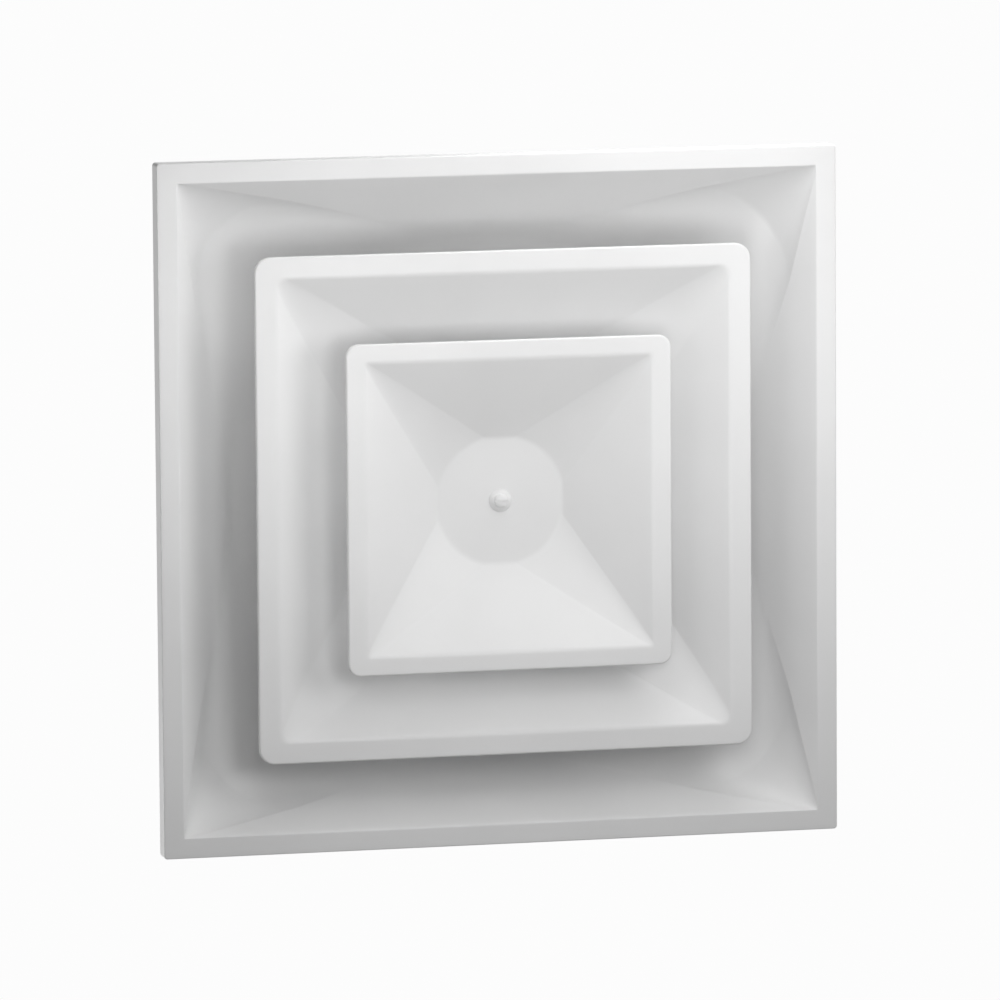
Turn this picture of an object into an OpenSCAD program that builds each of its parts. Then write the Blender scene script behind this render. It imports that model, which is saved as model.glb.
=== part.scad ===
// Square lay-in ceiling diffuser with three step-down cones and a round duct collar.
// The origin is the centre of the border's room face. +Z points up, into the ceiling.

/* [Panel] */
// Side of the square panel, over its folded edges
panel_w = 603; // [560:1:740]
// Width of the flat border around the opening
border_w = 17.5; // [12:0.5:24]
// Height of the edge folded up around the border
edge_h = 18; // [12:0.5:24]
// Radius of the panel's outer corners
panel_corner_r = 3; // [1:0.5:6]
// Thickness of the painted sheet
sheet_t = 1; // [0.8:0.1:1.4]

/* [Back pan] */
// Height of the pan's rounded shoulder above the room face
shoulder_h = 20; // [14:1:26]
// Distance from the opening's edge in to the shoulder, in plan
shoulder_in = 19; // [14:1:24]
// Corner radius of the shoulder
shoulder_r = 82; // [50:1:110]
// Further rise of the shoulder in the middle of each corner
shoulder_rise = 15; // [0:1:18]
// Height of the pan's flat top above the room face
pan_h = 62; // [56:1:76]

/* [Collar] */
// Outside diameter of the duct collar
collar_d = 250.8; // [200:0.2:302]
// Height of the collar above the pan's top
collar_h = 40; // [30:1:60]
// Width of the collar's seating flange
collar_flange_w = 16; // [12:1:20]
// How far the collar's bead stands proud
bead_out = 0.6; // [0.4:0.1:0.6]
// Number of rivets around the collar's flange
collar_rivet_count = 8; // [4:4:12]

/* [Middle cone] */
// Gap in plan from the opening's edge to the middle cone's rim
middle_gap = 64; // [50:1:80]
// Width of the middle cone's flat rim
middle_rim_w = 19; // [14:0.5:24]
// Distance of the middle rim below the border
middle_drop = 17; // [12:1:24]
// Outer corner radius of the middle rim
middle_corner_r = 14; // [11:1:20]
// Inner corner radius of the middle cone's rim
middle_inner_r = 9; // [4:1:10]
// Radius of the middle cone's round throat
throat_r = 118; // [100:1:130]
// Height of the lip around the throat
throat_lip_h = 14; // [12:1:16]
// Clear height between the throat's lip and the bridge's side lips
throat_gap = 4; // [3:0.5:8]

/* [Inner cone] */
// Gap in plan from the middle rim to the inner cone's rim
inner_gap = 57; // [45:1:70]
// Width of the inner cone's flat rim
inner_rim_w = 16.5; // [12:0.5:20]
// Distance of the inner rim below the border
inner_drop = 33; // [28:1:44]
// Outer corner radius of the inner rim
inner_corner_r = 11; // [8:1:16]
// Inner corner radius of the inner cone's rim
inner_inner_r = 3; // [2:0.5:6]
// Radius of the flat disc in the middle
disc_r = 57; // [50:1:60]
// Height of the disc's room face above the border
disc_z = 4; // [0:1:10]
// Depth of the hem turned up around each cone's rim
hem_h = 4; // [2:0.5:6]

/* [Core carrier] */
// Width of the bridge and the cross straps
strap_w = 24; // [20:1:30]
// Thickness of the bridge and the cross straps
strap_t = 2; // [1.5:0.1:2.5]
// Depth of the bridge's side lips
bridge_lip_h = 9; // [6:0.5:11]
// Distance from the centre to each guide pin
guide_pitch = 34; // [28:1:40]
// Diameter of the guide pins
guide_d = 6; // [5:0.5:8]
// Distance the core can be let down
core_travel = 25; // [15:1:30]

/* [Centre screw] */
// Diameter of the centre screw
screw_d = 6; // [5:0.5:8]
// Diameter of the screw's head
screw_head_d = 12; // [10:0.5:14]
// Diameter of the cup washer under the head
washer_d = 20; // [17:0.5:24]

/* [Hanger tabs] */
// Least distance from a tab's riveted base to the edge of the pan's top
hanger_inset = 13; // [8:1:16]
// Diameter of each hanger hole
hanger_hole_d = 7; // [5:0.5:8]
// Height of each tab's lug above the pan's top
hanger_rise = 12; // [8:1:20]
// Diameter of all the rivets
rivet_d = 4; // [3.2:0.1:4.8]

/* [Hidden] */

$fn = 72;
ROUND_FN = 120;              // steps around the collar
ARC_STEPS = 14;              // straight steps in each corner of a pressed shell
CUT = 1;                     // how far a cutter passes the face that it cuts
RUN_FIT = 0.05;              // radial clearance of what turns or slides in a hole
LOOSE_FIT = 0.4;             // radial clearance of a screw through a hole
SEAT_GAP = 0.2;              // between the spacer sleeve and the nut it seats on
SKIN_OUT = 0.7 * sheet_t;    // how far a sloping wall's back stands out from its front
SKIN_UP = 0.75 * sheet_t;    // how far a sloping wall's back stands above its front
PAN_FLAT_A = 5;              // half of the angle that a flat takes on the pan's top circle
THROAT_FLAT_A = 20;          // the same on the throat
DISC_FLAT_A = 14;            // the same on the disc
SHARP_R = 1.5;               // corner radius of the opening

open_half = panel_w / 2 - border_w;
shoulder_half = open_half - shoulder_in;
pan_flat = open_half - shoulder_in * pan_h / shoulder_h;
pan_top_r = pan_flat / cos(PAN_FLAT_A);
plate_top = pan_h + sheet_t;

collar_r = collar_d / 2;
collar_bore_r = collar_r - sheet_t;
collar_flange_r = collar_r + collar_flange_w;
bead_z = plate_top + 0.7 * collar_h;
rivet_circle_r = collar_r + 0.55 * collar_flange_w;

bridge_under = pan_h - strap_t;
bridge_lip_gap = 4;          // between the end of a side lip and the collar's bore
bridge_lip_half = collar_bore_r - bridge_lip_gap;

middle_half = open_half - middle_gap;
throat_z = bridge_under - bridge_lip_h - throat_gap - throat_lip_h;
throat_top = throat_z + throat_lip_h;
throat_flat = throat_r * cos(THROAT_FLAT_A);
inner_half = middle_half - middle_rim_w - inner_gap;
disc_flat = disc_r * cos(DISC_FLAT_A);

strap_base_z = disc_z + sheet_t;
upper_strap_z = strap_base_z + strap_t;
sleeve_foot_z = upper_strap_z + strap_t;
foot_low_z = throat_z + sheet_t;
strap_rivet_z = (throat_z + throat_top) / 2 + sheet_t;
strap_rivet_y = strap_w / 4;
strap_flat_x = guide_pitch + guide_d + strap_t;

stub_r = guide_d / 2 - 1;
guide_collar_r = guide_d / 2 + 1.5;
guide_collar_h = 2;
guide_spare = 5;             // what stays above the bridge when the core is down
guide_end_z = pan_h + core_travel + guide_spare;

nut_flange_t = 1.5;
nut_flange_w = 2;
nut_body_h = 7;
nut_body_r = screw_d / 2 + 2;
nut_foot_z = pan_h - nut_body_h;
thread_spare = 3;            // thread left above the nut when the core is down
thread_end_z = pan_h + nut_flange_t + core_travel + thread_spare;
tip_h = 1;                   // chamfer on the tips of the screw and the pins

washer_h = 2.4;
washer_edge_t = 0.6;
washer_seat_w = 1;           // flat of the washer outside the screw's head
head_h = 3.2;
head_z = disc_z - washer_h;
slot_w = 1.6;
slot_deep = 1.8;

rivet_head_t = 0.35 * rivet_d;
rivet_head_r = 0.9 * rivet_d;
rivet_tail_r = 0.75 * rivet_d;

tab_w = 22;
tab_base_l = 20;
tab_lug_l = 20;
tab_t = 1.5;
tab_base_x = -tab_lug_l / 2 - tab_t - tab_base_l;
tab_rivet_x = tab_base_x + tab_base_l / 2;
hanger_pitch = 10 * floor(sqrt(2) * (pan_top_r - hanger_inset) / 10);

WHITE = [0.93, 0.93, 0.93];
GALVANISED = [0.72, 0.74, 0.75];
ZINC = [0.8, 0.81, 0.82];
ALUMINIUM = [0.85, 0.85, 0.86];

// A square of half side "half" with its corners rounded
module round_square(half, r) {
    square([2 * half, 2 * (half - r)], center = true);
    square([2 * (half - r), 2 * half], center = true);
    for (x = [-1, 1], y = [-1, 1])
        translate([x * (half - r), y * (half - r)]) circle(r);
}

// A circle with four flats, "flat" from its centre
module flatted_circle(r, flat) {
    intersection() {
        circle(r);
        square(2 * flat, center = true);
    }
}

// The points of one level of a pressed shell: four arcs of radius r, whose centres are
// "off" from both axes. Each arc turns from a to 90 - a, so that straight flats join them. It
// lies at height z, and may rise towards the middle of the corner.
function level(off, r, a, z, rise = 0) = [
    for (c = [0:3], i = [0:ARC_STEPS])
        let (t = 90 * c + a + (90 - 2 * a) * i / ARC_STEPS, up = rise * sin(180 * i / ARC_STEPS))
        [off * (c == 0 || c == 3 ? 1 : -1) + r * cos(t), off * (c < 2 ? 1 : -1) + r * sin(t), z + up]
];
function square_level(half, r, z, rise = 0) = level(half - r, r, 0, z, rise);
function round_level(r, flat, z) = level(0, r, acos(flat / r), z);

// A sheet whose section passes through the given levels in turn. The section of a ring
// closes on itself. That of a dish is closed by a flat cap on its first and last levels.
module pressed_shell(levels, dish = false) {
    n = len(levels[0]);
    k = len(levels);
    sides = [
        for (i = [0:k - (dish ? 2 : 1)], j = [0:n - 1])
            let (p = i * n, q = (i + 1) % k * n, m = (j + 1) % n)
            each [[p + j, p + m, q + m], [p + j, q + m, q + j]]
    ];
    caps = [
        [for (j = [n - 1:-1:0]) j],
        [for (j = [0:n - 1]) (k - 1) * n + j]
    ];
    polyhedron([for (l = levels) each l], dish ? concat(sides, caps) : sides);
}

// A rivet along +Z with its lower face at 0, through "grip" of sheet
module rivet(grip) {
    cylinder(h = grip, r = rivet_d / 2);
    translate([0, 0, -rivet_head_t]) cylinder(h = rivet_head_t, r = rivet_head_r);
    translate([0, 0, grip]) cylinder(h = rivet_head_t, r = rivet_tail_r);
}

module rivet_hole(z0, z1) {
    translate([0, 0, z0 - CUT]) cylinder(h = z1 - z0 + 2 * CUT, r = rivet_d / 2);
}

module around_collar() {
    for (i = [0:collar_rivet_count - 1])
        rotate([0, 0, (i + 0.5) * 360 / collar_rivet_count])
            translate([rivet_circle_r, 0, 0]) children();
}

module at_bridge_ends() {
    for (x = [-1, 1], y = [-1, 1])
        translate([x * rivet_circle_r, y * strap_w / 4, 0]) children();
}

// Four corners of the hanger holes' square, mirrored so that +X points away from the centre
module at_tab(x, y) {
    translate([x * hanger_pitch / 2, y * hanger_pitch / 2, plate_top])
        mirror([x < 0 ? 1 : 0, 0, 0]) children();
}

module back_pan() {
    foot_z = sheet_t / 2;
    skin_top_z = pan_h + sheet_t / 2;
    color(WHITE) difference() {
        union() {
            linear_extrude(sheet_t) difference() {
                round_square(panel_w / 2, panel_corner_r);
                square(2 * open_half, center = true);
            }
            linear_extrude(edge_h) difference() {
                round_square(panel_w / 2, panel_corner_r);
                round_square(panel_w / 2 - sheet_t, max(panel_corner_r - sheet_t, sheet_t / 5));
            }
            pressed_shell([
                square_level(open_half, SHARP_R, foot_z),
                square_level(shoulder_half, shoulder_r, shoulder_h, shoulder_rise),
                round_level(pan_top_r, pan_flat, pan_h),
                round_level(pan_top_r, pan_flat, skin_top_z),
                round_level(pan_top_r + SKIN_OUT, pan_flat + SKIN_OUT, skin_top_z),
                square_level(shoulder_half + SKIN_OUT, shoulder_r + SKIN_OUT, shoulder_h + SKIN_UP,
                    shoulder_rise),
                square_level(open_half + SKIN_OUT, SHARP_R + SKIN_OUT, foot_z + SKIN_UP),
                square_level(open_half + SKIN_OUT, SHARP_R + SKIN_OUT, foot_z)
            ]);
            translate([0, 0, pan_h]) linear_extrude(sheet_t)
                flatted_circle(pan_top_r + SKIN_OUT / 2, pan_flat + SKIN_OUT / 2);
        }
        translate([0, 0, pan_h - CUT])
            cylinder(h = sheet_t + 2 * CUT, r = collar_bore_r, $fn = ROUND_FN);
        around_collar() rivet_hole(pan_h, plate_top);
        at_bridge_ends() rivet_hole(pan_h, plate_top);
        for (x = [-1, 1], y = [-1, 1])
            at_tab(x, y) translate([tab_rivet_x, 0, 0]) rivet_hole(-sheet_t, 0);
    }
}

// The round bead rolled around the collar, without the part inside the collar's bore
module collar_bead() {
    bead_r = bead_out + sheet_t / 2;
    rotate_extrude($fn = ROUND_FN) translate([collar_r - sheet_t / 2, 0]) difference() {
        circle(bead_r, $fn = 32);
        translate([-2 * bead_r, -2 * bead_r]) square([2 * bead_r, 4 * bead_r]);
    }
}

module neck_collar() {
    color(GALVANISED) difference() {
        union() {
            translate([0, 0, plate_top]) difference() {
                union() {
                    cylinder(h = collar_h, r = collar_r, $fn = ROUND_FN);
                    cylinder(h = sheet_t, r = collar_flange_r, $fn = ROUND_FN);
                }
                translate([0, 0, -CUT])
                    cylinder(h = collar_h + 2 * CUT, r = collar_bore_r, $fn = ROUND_FN);
            }
            translate([0, 0, bead_z]) collar_bead();
        }
        around_collar() rivet_hole(plate_top, plate_top + sheet_t);
        at_bridge_ends() rivet_hole(plate_top, plate_top + sheet_t);
    }
}

module collar_rivets() {
    color(ALUMINIUM) around_collar() translate([0, 0, pan_h]) rivet(2 * sheet_t);
}

// A flat bar across the neck, with a lip bent down along each side
module neck_bridge() {
    hole_h = strap_t + 2 * CUT;
    color(GALVANISED) difference() {
        union() {
            translate([-collar_flange_r, -strap_w / 2, bridge_under])
                cube([2 * collar_flange_r, strap_w, strap_t]);
            for (y = [-strap_w / 2, strap_w / 2 - strap_t])
                translate([-bridge_lip_half, y, bridge_under - bridge_lip_h])
                    cube([2 * bridge_lip_half, strap_t, bridge_lip_h + strap_t / 2]);
        }
        at_bridge_ends() rivet_hole(bridge_under, pan_h);
        translate([0, 0, bridge_under - CUT]) cylinder(h = hole_h, r = nut_body_r);
        for (x = [-guide_pitch, guide_pitch])
            translate([x, 0, bridge_under - CUT]) cylinder(h = hole_h, r = guide_d / 2 + RUN_FIT);
    }
}

module bridge_rivets() {
    color(ALUMINIUM) at_bridge_ends() translate([0, 0, bridge_under]) rivet(strap_t + 2 * sheet_t);
}

module clinch_nut() {
    color(ZINC) difference() {
        union() {
            translate([0, 0, nut_foot_z]) cylinder(h = pan_h - nut_foot_z, r = nut_body_r);
            translate([0, 0, pan_h]) cylinder(h = nut_flange_t, r = nut_body_r + nut_flange_w);
        }
        translate([0, 0, nut_foot_z - CUT])
            cylinder(h = pan_h - nut_foot_z + nut_flange_t + 2 * CUT, r = screw_d / 2 + RUN_FIT);
    }
}

// A tab bent twice: its base is riveted to the pan, and its raised lug holds the hanger
module hanger_tab(x, y) {
    upright_x = tab_base_x + tab_base_l;
    lug_z = hanger_rise - tab_t;
    color(GALVANISED) at_tab(x, y) difference() {
        union() {
            translate([tab_base_x, -tab_w / 2, 0]) cube([tab_base_l + tab_t, tab_w, tab_t]);
            translate([upright_x, -tab_w / 2, 0]) cube([tab_t, tab_w, hanger_rise]);
            translate([upright_x, -tab_w / 2, lug_z]) cube([-upright_x, tab_w, tab_t]);
            translate([0, 0, lug_z]) cylinder(h = tab_t, r = tab_w / 2);
        }
        translate([0, 0, lug_z - CUT]) cylinder(h = tab_t + 2 * CUT, r = hanger_hole_d / 2);
        translate([tab_rivet_x, 0, 0]) rivet_hole(0, tab_t);
    }
}

module tab_rivets() {
    color(ALUMINIUM) for (x = [-1, 1], y = [-1, 1])
        at_tab(x, y) translate([tab_rivet_x, 0, -sheet_t]) rivet(sheet_t + tab_t);
}

// The levels of a cone's flat rim, from the wall's foot on its back, around the hem
// that is turned up along its outer edge, to the wall's foot on its room face
function rim_levels(half, rim_w, outer_r, inner_r, z) = [
    square_level(half - rim_w + SKIN_OUT, inner_r + SKIN_OUT, z + sheet_t),
    square_level(half - sheet_t, outer_r - sheet_t, z + sheet_t),
    square_level(half - sheet_t, outer_r - sheet_t, z + hem_h),
    square_level(half, outer_r, z + hem_h),
    square_level(half, outer_r, z),
    square_level(half - rim_w, inner_r, z)
];

// Two places on each of the throat's four flats, with +Z towards the centre
module at_throat_rivets() {
    for (a = [0:90:270], y = [-1, 1])
        rotate([0, 0, a]) translate([throat_flat + sheet_t, y * strap_rivet_y, strap_rivet_z])
            rotate([0, -90, 0]) children();
}

// A square-to-round cone, open at its round throat, where a lip stands up
module middle_cone() {
    color(WHITE) difference() {
        pressed_shell(concat(
            [
                round_level(throat_r, throat_flat, throat_z),
                round_level(throat_r, throat_flat, throat_top),
                round_level(throat_r + sheet_t, throat_flat + sheet_t, throat_top),
                round_level(throat_r + sheet_t, throat_flat + sheet_t, throat_z + SKIN_UP)
            ],
            rim_levels(middle_half, middle_rim_w, middle_corner_r, middle_inner_r, -middle_drop)
        ));
        at_throat_rivets() rivet_hole(0, sheet_t);
    }
}

// A square-to-round cone that a flat disc closes
module inner_cone() {
    color(WHITE) difference() {
        pressed_shell(concat(
            [round_level(disc_r + SKIN_OUT, disc_flat + SKIN_OUT, disc_z + sheet_t)],
            rim_levels(inner_half, inner_rim_w, inner_corner_r, inner_inner_r, -inner_drop),
            [round_level(disc_r, disc_flat, disc_z)]
        ), dish = true);
        translate([0, 0, disc_z - CUT])
            cylinder(h = sheet_t + 2 * CUT, r = screw_d / 2 + LOOSE_FIT);
    }
}

// A flat strap that rises at both ends to a foot against the throat's lip.
// Its side view is drawn in X and Z and given its width along Y.
module cross_strap(base_z) {
    bend_up = 0.6 * strap_t;
    bend_in = 0.4 * strap_t;
    half_view = [
        [0, base_z], [strap_flat_x, base_z], [throat_flat, foot_low_z], [throat_flat, throat_top],
        [throat_flat - strap_t, throat_top], [throat_flat - strap_t, foot_low_z + bend_up],
        [strap_flat_x - bend_in, base_z + strap_t], [0, base_z + strap_t]
    ];
    color(GALVANISED) difference() {
        for (side = [0, 1])
            mirror([side, 0, 0]) translate([0, strap_w / 2, 0]) rotate([90, 0, 0])
                linear_extrude(strap_w) polygon(half_view);
        translate([0, 0, base_z - CUT]) cylinder(h = strap_t + 2 * CUT, r = screw_d / 2 + LOOSE_FIT);
        for (side = [0, 1], y = [-1, 1])
            mirror([side, 0, 0]) translate([throat_flat + CUT, y * strap_rivet_y, strap_rivet_z])
                rotate([0, -90, 0]) cylinder(h = strap_t + 2 * CUT, r = rivet_d / 2);
        children();
    }
}

module lower_cross_strap() {
    cross_strap(strap_base_z)
        for (x = [-guide_pitch, guide_pitch])
            translate([x, 0, strap_base_z - CUT]) cylinder(h = strap_t + 2 * CUT, r = stub_r);
}

module upper_cross_strap() {
    rotate([0, 0, 90]) cross_strap(upper_strap_z);
}

module strap_rivets() {
    color(ALUMINIUM) at_throat_rivets() rivet(sheet_t + strap_t);
}

// A pin staked in the lower strap by its stub, which slides in the bridge
module guide_pin(x) {
    shank_z = strap_base_z + strap_t;
    color(ZINC) translate([x, 0, 0]) {
        translate([0, 0, strap_base_z]) cylinder(h = strap_t, r = stub_r);
        translate([0, 0, shank_z]) cylinder(h = guide_collar_h, r = guide_collar_r);
        translate([0, 0, shank_z]) cylinder(h = guide_end_z - shank_z - tip_h, r = guide_d / 2);
        translate([0, 0, guide_end_z - tip_h]) cylinder(h = tip_h, r1 = guide_d / 2, r2 = stub_r);
    }
}

module spacer_sleeve() {
    color(ZINC) translate([0, 0, sleeve_foot_z]) difference() {
        cylinder(h = nut_foot_z - SEAT_GAP - sleeve_foot_z, r = nut_body_r + 1);
        translate([0, 0, -CUT])
            cylinder(h = nut_foot_z - sleeve_foot_z + 2 * CUT, r = screw_d / 2 + LOOSE_FIT);
    }
}

// A dished washer that widens from the screw's head to the disc
module cup_washer() {
    hole_r = screw_d / 2 + LOOSE_FIT;
    color(WHITE) translate([0, 0, head_z]) rotate_extrude()
        polygon([
            [hole_r, 0], [screw_head_d / 2 + washer_seat_w, 0],
            [washer_d / 2, washer_h - washer_edge_t], [washer_d / 2, washer_h], [hole_r, washer_h]
        ]);
}

// The screw's head is a low dome on a straight rim, with a slot across it
module centre_screw() {
    head_r = screw_head_d / 2;
    rim_h = 0.4 * head_h;
    dome_h = head_h - rim_h;
    color(WHITE) difference() {
        union() {
            translate([0, 0, head_z - head_h]) rotate_extrude()
                polygon([
                    for (t = [0:15:90]) [head_r * sin(t), dome_h * (1 - cos(t))],
                    [head_r, head_h], [0, head_h]
                ]);
            translate([0, 0, head_z])
                cylinder(h = thread_end_z - head_z - tip_h, r = screw_d / 2);
            translate([0, 0, thread_end_z - tip_h])
                cylinder(h = tip_h, r1 = screw_d / 2, r2 = screw_d / 2 - tip_h);
        }
        translate([-screw_head_d, -slot_w / 2, head_z - head_h - CUT])
            cube([2 * screw_head_d, slot_w, slot_deep + CUT]);
    }
}

back_pan();
neck_collar();
collar_rivets();
neck_bridge();
bridge_rivets();
clinch_nut();
hanger_tab(-1, -1);  // hanger_tab_front_left
hanger_tab(1, -1);  // hanger_tab_front_right
hanger_tab(-1, 1);  // hanger_tab_rear_left
hanger_tab(1, 1);  // hanger_tab_rear_right
tab_rivets();
middle_cone();
inner_cone();
lower_cross_strap();
upper_cross_strap();
strap_rivets();
guide_pin(-guide_pitch);  // guide_pin_left
guide_pin(guide_pitch);  // guide_pin_right
spacer_sleeve();
cup_washer();
centre_screw();
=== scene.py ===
"""The looks of a square step-down ceiling diffuser: painted cones, neck, carrier and fasteners."""
import bpy
import numpy as np
from math import cos, radians
from mathutils import Euler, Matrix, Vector


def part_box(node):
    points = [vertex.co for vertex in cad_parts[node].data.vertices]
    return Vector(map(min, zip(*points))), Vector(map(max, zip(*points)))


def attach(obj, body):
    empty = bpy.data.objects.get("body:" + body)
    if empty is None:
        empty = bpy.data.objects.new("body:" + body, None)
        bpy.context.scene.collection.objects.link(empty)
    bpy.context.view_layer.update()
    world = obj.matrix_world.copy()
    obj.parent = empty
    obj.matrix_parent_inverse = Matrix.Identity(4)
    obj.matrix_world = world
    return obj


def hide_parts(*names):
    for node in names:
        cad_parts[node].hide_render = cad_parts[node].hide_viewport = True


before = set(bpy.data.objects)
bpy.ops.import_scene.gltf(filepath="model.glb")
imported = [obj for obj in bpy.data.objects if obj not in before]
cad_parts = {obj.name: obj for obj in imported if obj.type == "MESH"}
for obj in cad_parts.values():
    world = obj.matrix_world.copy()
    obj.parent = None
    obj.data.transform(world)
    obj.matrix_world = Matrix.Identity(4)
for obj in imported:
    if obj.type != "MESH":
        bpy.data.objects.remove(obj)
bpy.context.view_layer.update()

MM = 0.001
SHEET = 1.0 * MM
TURN = 2 * np.pi

# ---------------------------------------------------------------- sizes that the frame gives
PAN_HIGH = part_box("back_pan")[1]
MIDDLE_LOW, MIDDLE_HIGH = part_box("middle_cone")
INNER_LOW, INNER_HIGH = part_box("inner_cone")
COLLAR_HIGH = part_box("neck_collar")[1]
BRIDGE_LOW, BRIDGE_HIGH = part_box("neck_bridge")
SCREW_LOW, SCREW_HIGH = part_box("centre_screw")
WASHER_LOW, WASHER_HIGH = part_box("cup_washer")
SLEEVE_LOW, SLEEVE_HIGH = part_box("spacer_sleeve")
NUT_LOW, NUT_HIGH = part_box("clinch_nut")
PIN_LOW, PIN_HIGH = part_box("guide_pin_right")
LOWER_STRAP_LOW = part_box("lower_cross_strap")[0]
UPPER_STRAP_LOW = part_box("upper_cross_strap")[0]
TAB_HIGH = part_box("hanger_tab_rear_right")[1]

PANEL_HALF = PAN_HIGH.x
PLATE_TOP = PAN_HIGH.z
MIDDLE_HALF = MIDDLE_HIGH.x
INNER_HALF = INNER_HIGH.x
COLLAR_FLANGE_R = COLLAR_HIGH.x
SCREW_HEAD_R = SCREW_HIGH.x
WASHER_R = WASHER_HIGH.x

# ---------------------------------------------------------------- sizes repeated from the part
BORDER_W = 17.5 * MM
EDGE_H = 18 * MM
PANEL_CORNER_R = 3 * MM
OPENING_CORNER_R = 1.5 * MM
SHOULDER_H = 20 * MM
SHOULDER_IN = 19 * MM
SHOULDER_R = 82 * MM
SHOULDER_RISE = 15 * MM
PAN_FLAT_A = radians(5)
COLLAR_R = 125.4 * MM
BEAD_Z = 91 * MM
BEAD_OUT = 0.6 * MM
HEM_H = 4 * MM
MIDDLE_RIM_W = 19 * MM
MIDDLE_CORNER_R = 14 * MM
MIDDLE_INNER_R = 9 * MM
THROAT_R = 118 * MM
THROAT_LIP_H = 14 * MM
INNER_RIM_W = 16.5 * MM
INNER_CORNER_R = 11 * MM
INNER_INNER_R = 3 * MM
DISC_R = 57 * MM
THROAT_FLAT_A = radians(20)
DISC_FLAT_A = radians(14)
SCREW_HOLE_R = 3.4 * MM
RIVET_R = 2 * MM
RIVET_HEAD_R = 3.6 * MM
RIVET_TAIL_R = 3 * MM
RIVET_HEAD_T = 1.4 * MM
RIVET_CIRCLE_R = COLLAR_R + 0.55 * (COLLAR_FLANGE_R - COLLAR_R)
COLLAR_RIVETS = 8
STRAP_W = 24 * MM
STRAP_T = 2 * MM
STRAP_FLAT = 42 * MM
BRIDGE_LIP_GAP = 4 * MM
TAB_W = 22 * MM
TAB_T = 1.5 * MM
TAB_BASE_L = 20 * MM
TAB_LUG_L = 20 * MM
HANGER_HOLE_R = 3.5 * MM
SCREW_R = 3 * MM
THREAD_PITCH = 1 * MM
NUT_BODY_R = SCREW_R + 2 * MM
PIN_R = 3 * MM
PIN_STUB_R = 2 * MM
RUN_FIT = 0.05 * MM

TAB_BASE_X = -TAB_LUG_L / 2 - TAB_T - TAB_BASE_L
TAB_RIVET_X = TAB_BASE_X + TAB_BASE_L / 2
TAB_CENTRE = TAB_HIGH.x - TAB_W / 2
COLLAR_BORE = COLLAR_R - SHEET
OPEN_HALF = PANEL_HALF - BORDER_W
PAN_UNDER = PLATE_TOP - SHEET
PAN_TOP_R = (OPEN_HALF - SHOULDER_IN * PAN_UNDER / SHOULDER_H) / cos(PAN_FLAT_A)
THROAT_FLAT = THROAT_R * cos(THROAT_FLAT_A)


# ---------------------------------------------------------------- meshes from grids of points
# A part is (points, quads, polygons), where the polygons are the faces that have another count of
# corners.
def grid_quads(rows, columns, wrap_columns, wrap_rows=False, first=0):
    """The quads of a grid, row by row: point (i, j) joins (i, j+1), (i+1, j+1) and (i+1, j)."""
    i = np.arange(rows if wrap_rows else rows - 1)[:, None]
    j = np.arange(columns if wrap_columns else columns - 1)[None, :]
    i2, j2 = (i + 1) % rows, (j + 1) % columns
    corners = [i * columns + j, i * columns + j2, i2 * columns + j2, i2 * columns + j]
    return first + np.stack([c + 0 * (i + j) for c in corners], -1).reshape(-1, 4)


def grid_normals(grid, wrap_columns):
    """Unit normals: the cross product of the differences along the columns and along the rows."""
    if wrap_columns:
        along = np.roll(grid, -1, 1) - np.roll(grid, 1, 1)
    else:
        along = np.gradient(grid, axis=1)
    across = np.gradient(grid, axis=0)
    normal = np.cross(along, across)
    return normal / np.maximum(np.linalg.norm(normal, axis=-1, keepdims=True), 1e-12)


def sheet(front, back, wrap):
    """A closed shell between two grids of one shape: both faces, and a strip along each free edge.
    The front's normal, columns crossed with rows, points out of the sheet."""
    rows, columns = front.shape[:2]
    count = rows * columns
    quads = [grid_quads(rows, columns, wrap), grid_quads(rows, columns, wrap, first=count)[:, ::-1]]
    j = np.arange(columns if wrap else columns - 1)
    j2 = (j + 1) % columns
    last = (rows - 1) * columns
    quads.append(np.stack([j2, j, j + count, j2 + count], -1))
    quads.append(np.stack([last + j, last + j2, last + j2 + count, last + j + count], -1))
    if not wrap:
        i = np.arange(rows - 1) * columns
        i2 = i + columns
        end = columns - 1
        quads.append(np.stack([i, i2, i2 + count, i + count], -1))
        quads.append(np.stack([i2 + end, i + end, i + end + count, i2 + end + count], -1))
    return np.concatenate([front.reshape(-1, 3), back.reshape(-1, 3)]), np.concatenate(quads), []


def joined(parts):
    """Several (points, quads, polygons) parts as one."""
    starts = np.cumsum([0] + [len(p[0]) for p in parts[:-1]]).tolist()
    points = np.concatenate([p[0] for p in parts])
    quads = np.concatenate([p[1] + start for p, start in zip(parts, starts)])
    polygons = [[v + start for v in f] for p, start in zip(parts, starts) for f in p[2]]
    return points, quads, polygons


def capped(grid):
    """A tube whose rows are closed rings, with one polygon over each end."""
    rows, columns = grid.shape[:2]
    last = (rows - 1) * columns
    ends = [list(range(columns))[::-1], [last + j for j in range(columns)]]
    return grid.reshape(-1, 3), grid_quads(rows, columns, True), ends


def moved(part, x=0.0, y=0.0, z=0.0):
    """The part shifted by x, y and z."""
    return part[0] + np.array([x, y, z]), part[1], part[2]


def quarter_turned(part, turns):
    """The part turned about Z by whole quarter turns."""
    c, s = [(1, 0), (0, 1), (-1, 0), (0, -1)][turns % 4]
    return part[0] @ np.array([[c, s, 0], [-s, c, 0], [0, 0, 1]], float), part[1], part[2]


def mirrored(part):
    """The part with its X turned over, and its faces turned back to point outwards."""
    points, quads, polygons = part
    return points * np.array([-1, 1, 1]), quads[:, ::-1], [face[::-1] for face in polygons]


def parabola(enter, here, leave, u):
    """Points of the bend that leaves the line to "here" at "enter" and joins the next at "leave",
    for u from 0 to 1."""
    return (1 - u) ** 2 * enter + 2 * u * (1 - u) * here + u**2 * leave


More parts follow.
